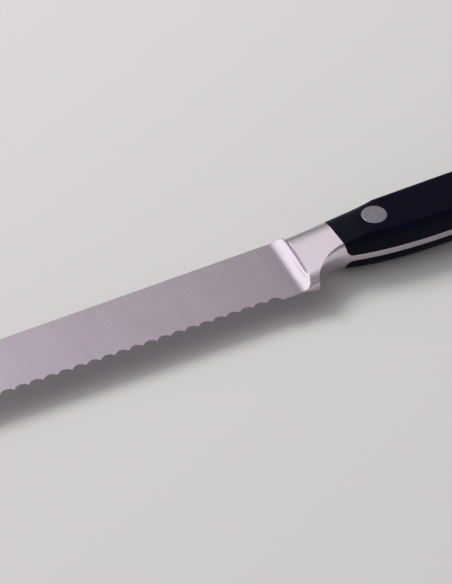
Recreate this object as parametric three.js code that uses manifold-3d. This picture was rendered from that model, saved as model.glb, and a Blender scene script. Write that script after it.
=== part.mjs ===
import * as THREE from 'three';
import { mergeVertices } from 'three/addons/utils/BufferGeometryUtils.js';
import Module from 'manifold-3d';

// Serrated utility knife: a one-piece forging of blade, bolster and full tang,
// two moulded handle scales, and three two-piece rivets. Sizes in millimetres.
// The knife lies on its side. X runs from tip to butt, Y from edge to spine, Z through the thickness.
// While modelling, X = 0 is the heel of the blade, Y = 0 the spine line and Z = 0 the middle plane.

// Blade
const bladeLength = 130;
const bladeHeight = 21.6;
const edgeTaper = THREE.MathUtils.degToRad(1.39);
const spineCurveLength = 48;
const edgeCurveLength = 25;
const tipDepth = 15;
const spineThickness = 1.9;
const spineThicknessAtTip = 1.5;
const edgeThickness = 0.5;

// Serrated edge, ground from the right side only
const flutePitch = 4.2;
const fluteDepth = 1.37;
const fluteEdgeRadius = 1.78;
const fluteAngle = THREE.MathUtils.degToRad(18);
const plainHeel = 11.4;
const plainTip = 5;
const fluteSegments = 90;

// Lip that the blade grind leaves in front of the bolster, and the step behind the lip
const lipStartAtSpine = -2.3;
const lipStartLean = THREE.MathUtils.degToRad(1.3);
const lipHeight = 1.42;
const lipHeightAtHeel = 1.85;
const lipCrestRadius = 1.7;
const lipCrestRadiusAtHeel = 0.73;
const lipBackWidth = 0.45;
const lipBackRadius = 3;
const lipSpineRound = 1.2;
const stepAtSpine = 2.55;
const stepCurveRadius = 140;

// Towards the heel the step fades and the lip runs out into the bolster
const stepFadeStart = 15.8;
const stepFadeEnd = 18.2;
const lipRunout = 0.9;
const lipRunoutRise = 0.16;

// Bolster
const bolsterLength = 15;
const bolsterHalfAtStep = 2.5;
const bolsterSlope = THREE.MathUtils.degToRad(10.7);
const bolsterSpineDrop = 0.3;
const bolsterSpineRound = 7;
const bolsterSpineStrip = 1;
const notchRadius = 13;
const notchTopDepth = 13.65;
const notchTopAhead = 0.1;
const heelRound = 0.4;
const heelStrip = 2;
const facetDepth = 18;
const facetAngle = THREE.MathUtils.degToRad(16);
const facetLead = THREE.MathUtils.degToRad(12);

// Handle
const handleLength = 102;
const handleThickness = 12.8;
const handleBlendRadius = 25;
const tangThickness = 2;
const shoulderDraft = THREE.MathUtils.degToRad(19);
const shoulderFillet = 1.2;
const spineRound = 3;
const spineRoundStart = 3;
const spineRoundEnd = 23;
const bellyRoundAtFront = 1.55;
const bellyRound = 2.9;
const bellyRoundRun = 8;
const bellyArc = THREE.MathUtils.degToRad(60);
const bellySlopeAtFront = -0.28;
const spineHumpStation = 50;
const spineEndDepth = 2.2;
const swellDepth = 19.3;
const swellStation = 47;
const waistDepth = 18.4;
const waistStation = 71;
const hookDepth = 22.8;
const buttSpineRound = 9;
const buttSpineRun = 11;
const buttHookRound = 5;
const buttHookRun = 5;
const buttFaceRound = 1.6;
const buttFaceRun = 3;

// Rivets
const rivetCount = 3;
const rivetFirst = 13;
const rivetSpacing = 34;
const rivetDepth = 8.2;
const headRadius = 3.75;
const headThickness = 2.4;
const shankRadius = 2.3;
const pinRadius = 1.5;
const roundSegments = 40;

// Fits
const scaleGap = 0.12;
const headClearance = 0.06;
const shankClearance = 0.1;
const tangHoleClearance = 0.3;
const pinClearance = 0.05;
const endClearance = 0.4;

// Room that cutting bodies keep beyond what they cut
const margin = 10;

const scaleFront = bolsterLength;
const buttX = scaleFront + handleLength;
const handleHalf = handleThickness / 2;
const tangHalf = tangThickness / 2;
const faceSlopeY = (spineThickness - edgeThickness) / 2 / bladeHeight;
const faceSlopeX = (spineThickness - spineThicknessAtTip) / 2 / bladeLength;

const wasm = await Module();
wasm.setup();

// A closed geometry becomes a solid that can be joined and cut
function solid(geometry) {
  const bare = new THREE.BufferGeometry();
  bare.setAttribute('position', geometry.getAttribute('position'));
  bare.setIndex(geometry.getIndex());
  const merged = mergeVertices(bare, 1e-5);
  const corners = merged.getIndex().array;
  const triangles = [];
  for (let i = 0; i < corners.length; i += 3) {
    const [a, b, c] = corners.subarray(i, i + 3);
    if (a !== b && b !== c && c !== a) triangles.push(a, b, c);
  }
  const mesh = new wasm.Mesh({
    numProp: 3,
    vertProperties: new Float32Array(merged.getAttribute('position').array),
    triVerts: new Uint32Array(triangles),
  });
  return new wasm.Manifold(mesh);
}

// A solid's surface as a geometry
function geometryOf(cut) {
  const mesh = cut.getMesh();
  const geometry = new THREE.BufferGeometry();
  geometry.setAttribute('position', new THREE.Float32BufferAttribute(mesh.vertProperties, 3));
  geometry.setIndex(new THREE.BufferAttribute(mesh.triVerts, 1));
  return geometry;
}

// The same geometry on the other side of the middle plane
function mirrored(geometry) {
  const copy = geometry.index ? geometry.toNonIndexed() : geometry.clone();
  copy.scale(1, 1, -1);
  const place = copy.getAttribute('position');
  const a = new THREE.Vector3();
  const b = new THREE.Vector3();
  for (let i = 0; i < place.count; i += 3) {
    a.fromBufferAttribute(place, i);
    b.fromBufferAttribute(place, i + 1);
    place.setXYZ(i, b.x, b.y, b.z);
    place.setXYZ(i + 1, a.x, a.y, a.z);
  }
  return copy;
}

// A skin over rings of equal count, each in a plane across X, closed at both ends
function loft(rings) {
  const count = rings[0].length;
  const positions = rings.flatMap((ring) => ring.flatMap((point) => point.toArray()));
  const index = [];
  for (let r = 0; r + 1 < rings.length; r += 1) {
    for (let p = 0; p < count; p += 1) {
      const a = r * count + p;
      const b = r * count + ((p + 1) % count);
      index.push(a, b, a + count, b, b + count, a + count);
    }
  }
  const last = (rings.length - 1) * count;
  const outline = (ring) => ring.map((point) => new THREE.Vector2(point.y, point.z));
  for (const [a, b, c] of THREE.ShapeUtils.triangulateShape(outline(rings[0]), [])) index.push(a, c, b);
  for (const [a, b, c] of THREE.ShapeUtils.triangulateShape(outline(rings.at(-1)), [])) {
    index.push(last + a, last + b, last + c);
  }
  const geometry = new THREE.BufferGeometry();
  geometry.setAttribute('position', new THREE.Float32BufferAttribute(positions, 3));
  geometry.setIndex(index);
  return geometry;
}

// A cubic from one station to the next with given slopes
function hermite(x, x0, y0, slope0, x1, y1, slope1) {
  const run = x1 - x0;
  const t = (x - x0) / run;
  const rise = 3 * t * t - 2 * t * t * t;
  const leave = t * t * t - 2 * t * t + t;
  const arrive = t * t * t - t * t;
  return y0 + (y1 - y0) * rise + run * (slope0 * leave + slope1 * arrive);
}

// How far a quarter ellipse has dropped over its last run
function roundOff(x, end, run, drop) {
  const t = THREE.MathUtils.clamp((x - end + run) / run, 0, 1);
  return drop * (1 - Math.sqrt(1 - t * t));
}

// Blade faces are planes that thin from spine to edge and from heel to tip
const facePlane = (x, y) => spineThickness / 2 + faceSlopeY * y + faceSlopeX * x;
const edgeLine = (x) => -bladeHeight - Math.tan(edgeTaper) * x;

// The edge runs straight from the heel, then along an arc that ends at the tip
const edgeTurn = new THREE.Vector2(edgeCurveLength - bladeLength, edgeLine(edgeCurveLength - bladeLength));
const tip = new THREE.Vector2(-bladeLength, -tipDepth);
const edgeUp = new THREE.Vector2(Math.sin(edgeTaper), Math.cos(edgeTaper));
const tipFromTurn = tip.clone().sub(edgeTurn);
const edgeRadius = tipFromTurn.lengthSq() / (2 * tipFromTurn.dot(edgeUp));
const edgeCentre = edgeTurn.clone().addScaledVector(edgeUp, edgeRadius);
const edgeStartAngle = edgeTurn.clone().sub(edgeCentre).angle();
const edgeEndAngle = tip.clone().sub(edgeCentre).angle();
const edgeStraight = (bladeLength - edgeCurveLength) / Math.cos(edgeTaper);
const edgeTotal = edgeStraight + edgeRadius * (edgeStartAngle - edgeEndAngle);

// A point of the edge and its outward direction, by length along the edge from the heel
function edgeAt(length) {
  const angle = edgeStartAngle - Math.max(0, length - edgeStraight) / edgeRadius;
  const outward = new THREE.Vector2(Math.cos(angle), Math.sin(angle));
  const point = edgeCentre.clone().addScaledVector(outward, edgeRadius);
  const back = Math.max(0, edgeStraight - length);
  point.x += back * Math.cos(edgeTaper);
  point.y -= back * Math.sin(edgeTaper);
  return { point, outward };
}

// Blade blank, of the blade's outline and as thick as its spine at the heel
function bladeBlank() {
  const rise = tipDepth;
  const radius = (spineCurveLength ** 2 + rise ** 2) / (2 * rise);
  const turn = spineCurveLength - bladeLength;
  const fall = Math.asin(spineCurveLength / radius);
  const outline = new THREE.Shape();
  outline.moveTo(0, 0);
  outline.lineTo(turn, 0);
  outline.absarc(turn, -radius, radius, Math.PI / 2, Math.PI / 2 + fall, false);
  outline.absarc(edgeCentre.x, edgeCentre.y, edgeRadius, edgeEndAngle, edgeStartAngle, false);
  outline.lineTo(0, -bladeHeight);
  const blank = new THREE.ExtrudeGeometry(outline, {
    depth: spineThickness,
    bevelEnabled: false,
    curveSegments: 20,
  });
  return blank.translate(0, 0, -spineThickness / 2);
}

// The step behind the lip bows across the side, and fades towards the heel
const stepX = (y) => stepAtSpine - y ** 2 / (2 * stepCurveRadius);
const stepFade = (y) => THREE.MathUtils.smoothstep(-y, stepFadeStart, stepFadeEnd);

// The lip's start and its crest, for each height on the blade
const lipStart = (y) => lipStartAtSpine + Math.tan(lipStartLean) * y;
const lipCrest = (y) => stepX(y) - lipBackWidth + lipRunout * stepFade(y);

// Ground surface: the flat face, a hollow arc that lifts off it, the crest's arc and the lip's back
function grindHeight(x, y) {
  const towardsHeel = THREE.MathUtils.clamp(-y / bladeHeight, 0, 1);
  const plainHeight = THREE.MathUtils.lerp(lipHeight, lipHeightAtHeel, towardsHeel);
  const height = plainHeight + lipRunoutRise * stepFade(y);
  const run = lipCrest(y) - lipStart(y);
  const radii = (run ** 2 + height ** 2) / (2 * height);
  const crestRadius = THREE.MathUtils.lerp(lipCrestRadius, lipCrestRadiusAtHeel, towardsHeel);
  const sweepRadius = radii - crestRadius;
  const ahead = lipCrest(y) - x;
  const face = facePlane(lipStart(y), y);
  if (ahead > run * crestRadius / radii) {
    return face + sweepRadius - Math.sqrt(sweepRadius ** 2 - (x - lipStart(y)) ** 2);
  }
  if (ahead > 0) return face + height - crestRadius + Math.sqrt(crestRadius ** 2 - ahead ** 2);
  return face + height - ahead ** 2 / (2 * lipBackRadius);
}

// Half thickness along the bolster and handle: a steady slope, a blend, then the flat side
function sideHalf(x) {
  const slope = Math.tan(bolsterSlope);
  const blendRise = handleBlendRadius * (1 - Math.cos(bolsterSlope));
  const blendRun = handleBlendRadius * Math.sin(bolsterSlope);
  const slopeEnd = stepAtSpine + (handleHalf - blendRise - bolsterHalfAtStep) / slope;
  const flatStart = slopeEnd + blendRun;
  if (x < slopeEnd) return bolsterHalfAtStep + (x - stepAtSpine) * slope;
  if (x < flatStart) {
    return handleHalf - handleBlendRadius + Math.sqrt(handleBlendRadius ** 2 - (flatStart - x) ** 2);
  }
  return handleHalf - roundOff(x, buttX, buttFaceRun, buttFaceRound);
}

// Spine of bolster and handle
function spineLine(x) {
  const hump = scaleFront + spineHumpStation;
  if (x < 0) return 0;
  if (x < stepAtSpine) return hermite(x, 0, 0, 0, stepAtSpine, -bolsterSpineDrop, 0);
  if (x < hump) return hermite(x, stepAtSpine, -bolsterSpineDrop, 0, hump, 0, 0);
  const fall = hermite(x, hump, 0, 0, buttX, -spineEndDepth, 0);
  return fall - roundOff(x, buttX, buttSpineRun, buttSpineRound);
}

// Width of the rounded side between the side face and the belly
function bellyRoundAt(x) {
  if (x < scaleFront) {
    const t = THREE.MathUtils.clamp((x - stepAtSpine) / (scaleFront - stepAtSpine), 0, 1);
    return THREE.MathUtils.lerp(heelRound, bellyRoundAtFront, t);
  }
  const t = Math.min(1, (x - scaleFront) / bellyRoundRun);
  return THREE.MathUtils.lerp(bellyRoundAtFront, bellyRound, t);
}

// Belly: the heel, the finger notch, the swell, the waist and the hook at the butt
function bellyLine(x) {
  const notchX = scaleFront - notchTopAhead;
  const swell = scaleFront + swellStation;
  const waist = scaleFront + waistStation;
  const frontDepth = notchTopDepth + bellyRoundAtFront;
  if (x < scaleFront) {
    const across = Math.min(notchRadius, Math.abs(x - notchX));
    const notch = -notchTopDepth - notchRadius + Math.sqrt(notchRadius ** 2 - across ** 2);
    return Math.max(edgeLine(x), notch - bellyRoundAt(x));
  }
  if (x < swell) return hermite(x, scaleFront, -frontDepth, bellySlopeAtFront, swell, -swellDepth, 0);
  if (x < waist) return hermite(x, swell, -swellDepth, 0, waist, -waistDepth, 0);
  const hook = hermite(x, waist, -waistDepth, 0, buttX, -hookDepth, 0);
  return hook + roundOff(x, buttX, buttHookRun, buttHookRound);
}

// One ring across bolster or handle: flat strip at the spine, rounded shoulder, flat side,
// a crease, the rounded belly side, flat strip at the belly
function sectionAt(x) {
  const steps = 6;
  const half = sideHalf(x);
  const spine = spineLine(x);
  const belly = bellyLine(x);
  const along = THREE.MathUtils.clamp((x - stepAtSpine) / (scaleFront - stepAtSpine), 0, 1);
  const spineStrip = THREE.MathUtils.lerp(bolsterSpineStrip / 2, tangHalf, along);
  const bellyStrip = THREE.MathUtils.lerp(heelStrip / 2, tangHalf, along);
  const roundFrom = scaleFront + spineRoundStart;
  const roundTo = scaleFront + spineRoundEnd;
  const tighten = THREE.MathUtils.clamp((x - roundFrom) / (roundTo - roundFrom), 0, 1);
  const widen = THREE.MathUtils.clamp(1 + (x - stepAtSpine) / lipBackWidth, 0, 1);
  const frontWidth = THREE.MathUtils.lerp(lipSpineRound, bolsterSpineRound, widen);
  const spineWidth = THREE.MathUtils.lerp(frontWidth, spineRound, tighten);
  const bellyWidth = bellyRoundAt(x);
  const upper = [];
  for (let i = 0; i <= steps; i += 1) {
    const turn = (i / steps) * Math.PI / 2;
    const y = spine - spineWidth * (1 - Math.cos(turn));
    const z = spineStrip + (half - spineStrip) * Math.sin(turn);
    upper.push(new THREE.Vector3(x, y, z));
  }
  for (let i = steps; i >= 0; i -= 1) {
    const turn = (i / steps) * bellyArc;
    const y = belly + bellyWidth * (1 - Math.cos(turn)) / (1 - Math.cos(bellyArc));
    const z = bellyStrip + (half - bellyStrip) * Math.sin(turn) / Math.sin(bellyArc);
    upper.push(new THREE.Vector3(x, y, z));
  }
  const lower = upper.map((point) => new THREE.Vector3(point.x, point.y, -point.z)).reverse();
  return [...upper, ...lower];
}

// Outer form of bolster and handle, from in front of the lip to the butt
function envelope() {
  const buttStart = buttX - buttSpineRun;
  const zones = [
    [lipStart(-bladeHeight) - lipHeight, lipCrest(0), 3],
    [lipCrest(0), stepAtSpine, 4],
    [stepAtSpine, scaleFront, 16],
    [scaleFront, scaleFront + spineRoundEnd, 14],
    [scaleFront + spineRoundEnd, buttStart, 16],
  ];
  const stations = zones.flatMap(([from, to, count]) => {
    return Array.from({ length: count }, (_, i) => from + (to - from) * (i / count));
  });
  const buttSteps = 12;
  for (let i = 0; i <= buttSteps; i += 1) {
    stations.push(buttStart + buttSpineRun * Math.sin((i / buttSteps) * Math.PI / 2));
  }
  return loft(stations.map(sectionAt));
}

// What the wheel takes off one side of the blade: all above the flat face, the hollow sweep
// and the rounded lip, as far as the step
function grindCutter() {
  const rows = 16;
  const lipSteps = 16;
  const far = -bladeLength - margin;
  const ring = (y) => {
    const heights = [new THREE.Vector3(-y, far, facePlane(far, y))];
    for (let i = 0; i <= lipSteps; i += 1) {
      const x = THREE.MathUtils.lerp(lipStart(y), stepX(y), i / lipSteps);
      heights.push(new THREE.Vector3(-y, x, grindHeight(x, y)));
    }
    const top = [stepX(y), far].map((x) => new THREE.Vector3(-y, x, handleThickness));
    return [...heights, ...top];
  };
  const stations = Array.from({ length: rows + 1 }, (_, i) => -bladeHeight * (i / rows));
  const rings = [margin, ...stations, -bladeHeight - margin].map(ring);
  return loft(rings).rotateZ(-Math.PI / 2);
}

// All that lies above a sloping plane, near the heel
function abovePlane(height) {
  const low = -bladeHeight - margin;
  const ring = (x) => [
    new THREE.Vector3(x, 0, height(x, 0)),
    new THREE.Vector3(x, 0, handleThickness + height(x, 0)),
    new THREE.Vector3(x, low, handleThickness + height(x, 0)),
    new THREE.Vector3(x, low, height(x, low)),
  ];
  return solid(loft([ring(-margin), ring(margin)]));
}

// The facet that thins the bolster towards the heel, kept clear of the blade's face
function heelFacet() {
  const along = Math.tan(facetLead);
  const across = Math.tan(facetAngle);
  const facet = (x, y) => bolsterHalfAtStep + along * (x - stepAtSpine) + across * (y + facetDepth);
  return geometryOf(abovePlane(facet).intersect(abovePlane(facePlane)));
}

// The round grinds that make the teeth, each a slanted cylinder that runs out on the right face
function flutes() {
  const radius = fluteEdgeRadius / Math.sin(fluteAngle);
  const count = Math.floor((edgeTotal - plainHeel - plainTip) / flutePitch) + 1;
  const up = new THREE.Vector3(0, 1, 0);
  return Array.from({ length: count }, (_, i) => {
    const { point, outward } = edgeAt(plainHeel + i * flutePitch);
    const root = point.clone().addScaledVector(outward, -fluteDepth);
    const out = new THREE.Vector3(outward.x, outward.y, 0);
    const along = out.clone().multiplyScalar(Math.cos(fluteAngle));
    along.z = Math.sin(fluteAngle);
    const away = out.clone().multiplyScalar(Math.sin(fluteAngle));
    away.z = -Math.cos(fluteAngle);
    const axis = new THREE.Vector3(root.x, root.y, facePlane(root.x, root.y)).addScaledVector(away, radius);
    const cylinder = new THREE.CylinderGeometry(radius, radius, 2 * margin, fluteSegments);
    cylinder.applyQuaternion(new THREE.Quaternion().setFromUnitVectors(up, along));
    return cylinder.translate(axis.x, axis.y, axis.z);
  });
}

// The room that one scale takes: behind the bolster's sloping shoulder and outside the tang
function scaleRoom(gap) {
  const fillet = shoulderFillet + gap;
  const shoulderX = (z) => scaleFront + gap + (sideHalf(scaleFront) - z) * Math.tan(shoulderDraft);
  const centreZ = tangHalf + fillet;
  const centreX = shoulderX(centreZ) + fillet / Math.cos(shoulderDraft);
  const outline = new THREE.Shape();
  outline.moveTo(centreX, tangHalf);
  outline.lineTo(buttX + margin, tangHalf);
  outline.lineTo(buttX + margin, handleThickness);
  outline.lineTo(shoulderX(handleThickness), handleThickness);
  outline.absarc(centreX, centreZ, fillet, Math.PI + shoulderDraft, 1.5 * Math.PI, false);
  const depth = hookDepth + 2 * margin;
  const room = new THREE.ExtrudeGeometry(outline, { depth, bevelEnabled: false, curveSegments: 6 });
  return room.rotateX(Math.PI / 2).translate(0, margin, 0);
}

// A turned body about Z from a profile of radius and height
function turned(profile) {
  const points = profile.map(([radius, height]) => new THREE.Vector2(radius, height));
  return new THREE.LatheGeometry(points, roundSegments).rotateX(Math.PI / 2);
}

const headSeat = handleHalf - headThickness;

// Stepped hole through one scale
const rivetHole = () => turned([
  [0, 0],
  [shankRadius + shankClearance, 0],
  [shankRadius + shankClearance, headSeat],
  [headRadius + headClearance, headSeat],
  [headRadius + headClearance, handleThickness],
  [0, handleThickness],
]);

// Rivet half with the hollow shank, its head on the left side
const rivetSocket = () => turned([
  [0, headSeat - endClearance],
  [pinRadius + pinClearance, headSeat - endClearance],
  [pinRadius + pinClearance, endClearance - headSeat],
  [shankRadius, endClearance - headSeat],
  [shankRadius, headSeat],
  [headRadius, headSeat],
  [headRadius, handleThickness],
  [0, handleThickness],
]);

// Rivet half with the solid pin, its head on the right side
const rivetPin = () => turned([
  [0, -handleThickness],
  [headRadius, -handleThickness],
  [headRadius, -headSeat],
  [pinRadius, -headSeat],
  [pinRadius, headSeat - 2 * endClearance],
  [0, headSeat - 2 * endClearance],
]);

const rivetPlaces = Array.from({ length: rivetCount }, (_, i) => {
  return new THREE.Vector2(scaleFront + rivetFirst + i * rivetSpacing, -rivetDepth);
});

const body = solid(envelope());

function forging() {
  const cutter = grindCutter();
  const facet = heelFacet();
  let steel = body.subtract(solid(scaleRoom(0))).subtract(solid(mirrored(scaleRoom(0))));
  steel = steel.add(solid(bladeBlank()));
  steel = steel.subtract(solid(cutter)).subtract(solid(mirrored(cutter)));
  steel = steel.subtract(solid(facet)).subtract(solid(mirrored(facet)));
  for (const flute of flutes()) steel = steel.subtract(solid(flute));
  for (const place of rivetPlaces) {
    const radius = shankRadius + tangHoleClearance;
    const hole = new THREE.CylinderGeometry(radius, radius, handleThickness, roundSegments);
    steel = steel.subtract(solid(hole.rotateX(Math.PI / 2).translate(place.x, place.y, 0)));
  }
  return geometryOf(steel);
}

function scale() {
  let half = body.intersect(solid(scaleRoom(scaleGap)));
  for (const place of rivetPlaces) half = half.subtract(solid(rivetHole().translate(place.x, place.y, 0)));
  return geometryOf(half);
}

// A rivet half trimmed flush with the handle's sides
const rivetHalf = (blank, place) => geometryOf(solid(blank.translate(place.x, place.y, 0)).intersect(body));

const steelFinish = new THREE.MeshStandardMaterial({ color: 0xa89fa8, roughness: 0.32, metalness: 1 });
const scaleFinish = new THREE.MeshStandardMaterial({ color: 0x11141d, roughness: 0.55, metalness: 0 });
const rivetFinish = new THREE.MeshStandardMaterial({ color: 0x8d8792, roughness: 0.38, metalness: 1 });

const knife = new THREE.Group();

function addPiece(name, geometry, finish) {
  geometry.computeVertexNormals();
  const piece = new THREE.Mesh(geometry, finish);
  piece.name = name;
  knife.add(piece);
}

const leftScale = scale();
addPiece('blade_forging', forging(), steelFinish);
addPiece('left_scale', leftScale, scaleFinish);
addPiece('right_scale', mirrored(leftScale), scaleFinish);
rivetPlaces.forEach((place, i) => {
  addPiece(`rivet_${i + 1}_socket`, rivetHalf(rivetSocket(), place), rivetFinish);
  addPiece(`rivet_${i + 1}_pin`, rivetHalf(rivetPin(), place), rivetFinish);
});

// The origin sits under the middle of the knife, on the face it lies on
const bounds = new THREE.Box3().setFromObject(knife);
const middle = bounds.getCenter(new THREE.Vector3());
knife.position.set(-middle.x, -middle.y, -bounds.min.z);
const part = new THREE.Group();
part.add(knife);

export default part;
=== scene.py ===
import math

import bmesh
import bpy
import numpy as np
from mathutils import Matrix, Vector


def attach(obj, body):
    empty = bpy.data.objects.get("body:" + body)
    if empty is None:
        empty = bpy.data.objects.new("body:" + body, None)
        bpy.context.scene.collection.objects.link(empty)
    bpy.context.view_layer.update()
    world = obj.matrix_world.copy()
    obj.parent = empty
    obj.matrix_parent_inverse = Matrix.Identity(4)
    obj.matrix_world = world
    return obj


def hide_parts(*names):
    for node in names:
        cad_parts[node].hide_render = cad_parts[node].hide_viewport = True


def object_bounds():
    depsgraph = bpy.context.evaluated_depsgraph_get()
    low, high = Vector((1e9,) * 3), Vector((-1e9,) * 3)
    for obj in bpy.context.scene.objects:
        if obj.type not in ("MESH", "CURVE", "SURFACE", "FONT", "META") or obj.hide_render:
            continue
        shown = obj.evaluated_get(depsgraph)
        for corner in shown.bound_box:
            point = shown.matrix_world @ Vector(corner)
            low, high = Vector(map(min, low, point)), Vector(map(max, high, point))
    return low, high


# Serrated utility knife: smooth, finely divided surfaces in place of the faceted solids.
# Forms are worked out in millimetres with X = 0 at the heel of the blade, Y = 0 on the spine line
# and Z = 0 in the middle plane, then placed in the frame in metres.

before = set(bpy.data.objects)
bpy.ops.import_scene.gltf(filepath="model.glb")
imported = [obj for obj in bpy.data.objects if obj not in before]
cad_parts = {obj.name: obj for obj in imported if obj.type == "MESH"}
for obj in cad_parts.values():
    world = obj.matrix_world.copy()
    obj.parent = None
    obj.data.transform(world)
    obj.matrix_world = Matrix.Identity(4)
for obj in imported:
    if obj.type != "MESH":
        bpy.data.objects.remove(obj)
cad_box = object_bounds()

# Blade
BLADE_LENGTH = 130.0
BLADE_HEIGHT = 21.6
EDGE_TAPER = math.radians(1.39)
SPINE_CURVE_LENGTH = 48.0
EDGE_CURVE_LENGTH = 25.0
TIP_DEPTH = 15.0
SPINE_THICKNESS = 1.9
SPINE_THICKNESS_AT_TIP = 1.5
EDGE_THICKNESS = 0.5
SPINE_BREAK = 0.16
TIP_BLUNT = 0.05

# Serrated edge, ground from the right side
FLUTE_PITCH = 4.2
FLUTE_DEPTH = 1.37
FLUTE_EDGE_RADIUS = 1.78
FLUTE_ANGLE = math.radians(18)
PLAIN_HEEL = 11.4
PLAIN_TIP = 5.0
EDGE_LAND = 0.04

# Hollow ahead of the lip, lip, step and heel facet
HOLLOW_START = -10.0
HOLLOW_DEPTH = 0.07
LIP_START = -2.3
LIP_START_LEAN = math.radians(1.3)
LIP_BACK_WIDTH = 0.45
LIP_HEIGHT = 1.42
LIP_HEIGHT_AT_HEEL = 1.85
LIP_CREST_RADIUS = 1.7
LIP_CREST_RADIUS_AT_HEEL = 0.73
LIP_BACK_RADIUS = 3.0
LIP_RUNOUT = 0.9
LIP_RUNOUT_RISE = 0.16
LIP_SPINE_ROUND = 1.2
STEP_AT_SPINE = 2.55
STEP_CURVE_RADIUS = 140.0
STEP_RAMP = 0.2
STEP_FADE_START = 15.8
STEP_FADE_END = 18.2
STEP_GROOVE = 0.1
STEP_GROOVE_WIDTH = 0.25
SPINE_NOTCH = 0.5
SPINE_NOTCH_RUN = 2.5
SPINE_NOTCH_WIDTH = 1.0
FACET_DEPTH = 18.0
FACET_ANGLE = math.radians(16)
FACET_LEAD = math.radians(12)
FACET_BLEND = 0.35
FACET_EDGE_BLEND = 0.03
GRIND_BLEND = 0.1

# Bolster
BOLSTER_LENGTH = 15.0
BOLSTER_HALF = 2.5
BOLSTER_SLOPE = math.radians(10.7)
BOLSTER_SPINE_DROP = 0.3
BOLSTER_SPINE_ROUND = 7.0
BOLSTER_SPINE_STRIP = 1.0
NOTCH_RADIUS = 13.0
NOTCH_TOP_DEPTH = 13.65
NOTCH_TOP_AHEAD = 0.1
HEEL_ROUND = 0.4
HEEL_STRIP = 2.0
HEEL_BREAK = 0.12
HEEL_BREAK_FADE = 3.0
NO_BREAK = 1e-6

# Handle
HANDLE_LENGTH = 102.0
HANDLE_THICKNESS = 12.8
HANDLE_BLEND_RADIUS = 25.0
TANG_THICKNESS = 2.0
SHOULDER_DRAFT = math.radians(10)
SHOULDER_FILLET = 1.9
SPINE_ROUND = 3.0
SPINE_ROUND_START = 8.0
SPINE_ROUND_END = 16.0
BELLY_ROUND_AT_FRONT = 1.55
BELLY_ROUND = 2.9
BELLY_ROUND_RUN = 8.0
BELLY_ARC = math.radians(60)
BELLY_SLOPE_AT_FRONT = -0.28
SPINE_HUMP_STATION = 50.0
SPINE_END_DEPTH = 2.2
SWELL_DEPTH = 19.3
SWELL_STATION = 47.0
WAIST_DEPTH = 18.4
WAIST_STATION = 71.0
HOOK_DEPTH = 22.8
BUTT_SPINE_ROUND = 9.0
BUTT_SPINE_RUN = 11.0
BUTT_HOOK_ROUND = 5.0
BUTT_HOOK_RUN = 5.0
BUTT_FACE_ROUND = 1.6
BUTT_FACE_RUN = 3.0
SCALE_GAP = 0.12
LEFT, RIGHT = 1, -1

# Rivets
RIVET_COUNT = 3
RIVET_FIRST = 13.0
RIVET_SPACING = 34.0
RIVET_DEPTH = 8.2
HEAD_RADIUS = 3.75
HEAD_THICKNESS = 2.4
HEAD_BREAK = 0.08
SHANK_RADIUS = 2.3
PIN_RADIUS = 1.5
PIN_CLEARANCE = 0.05
HEAD_CLEARANCE = 0.06
SHANK_CLEARANCE = 0.1
TANG_HOLE_CLEARANCE = 0.3
END_CLEARANCE = 0.4

# Rows of the surfaces, and the bands along spine and belly where they lie closer
SPINE_ROWS = 8
FACE_ROWS = 22
EDGE_ROWS = 11
BLADE_CROWDING = 1.4
SCALE_CROWDING = 2.4
EDGE_BAND = 3.4
EDGE_BAND_END = -8.0
BELLY_BAND_START = -3.0
BELLY_BAND_FACTOR = 1.2
BELLY_BAND_EXTRA = 0.3
TOOTH_BAND_SHARE = 0.3
SPINE_BAND_SHARE = 0.3
BELLY_BAND_SHARE = 0.4

# Columns of the surfaces, and the stations where they change
COLUMNS_PER_FLUTE = 18
TIP_COLUMNS = 16
TIP_CROWDING = 1.6
FORGING_BUTT_COLUMNS = 12
SCALE_BUTT_COLUMNS = 16
HEEL_START = -5.0
SPINE_BREAK_END = -1.0
SWEEP_COLUMNS_START = -2.0
STEP_APPROACH = 0.4
STEP_FOOT = 0.04
STEP_CLEAR = 0.5
FRONT_APPROACH = 0.5
SHOULDER_RUN = 2.6
TANG_COLUMNS_RUN = 4.0
SCALE_NOSE = 0.4
SCALE_FOLLOW_RUN = 14.0
SCALE_REAR_RUN = 26.0
LEAN_AHEAD = 0.5
LEAN_BEHIND = 0.6
LEAN_END = 12.0
FOLLOW_START = 10.0
FOLLOW_END = 30.0

# Rings of the turned pieces
ROUND_SEGMENTS = 72
HEAD_RINGS = (0.0, 0.25, 0.5, 0.75, 0.9)
HEAD_BREAK_STEPS = 4

# Search for lines where surfaces meet
HALVINGS = 40
BELLY_SEARCH_MARGIN = 2.0
BELLY_SEARCH_SHARE = 0.45
EDGE_SEARCH_BELOW = 0.2
EDGE_SEARCH_ABOVE = 3.0

# Mesh cleaning, the distances in metres
MERGE_DISTANCE = 1e-7
SHORTEST_EDGE = 1e-8
SHARP_ANGLE = math.radians(38)

# Noises of the finishes: cycles per metre along X, Y and Z, octaves and their roughness
GRIND_LINES = ((2400, 24, 24), 4, 0.6)
SATIN_GRAIN = ((1500, 1500, 1500), 4, 0.6)
STEEL_CLOUD = ((110, 70, 110), 3, 0.5)
PLASTIC_SKIN = ((2200, 2200, 2200), 3, 0.6)
PLASTIC_CLOUD = ((90, 140, 140), 4, 0.55)
RIVET_LINES = ((420, 2600, 900), 5, 0.65)
RIVET_CLOUD = ((480, 480, 480), 3, 0.5)
NOISE_LOW, NOISE_HIGH = 0.3, 0.7

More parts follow.
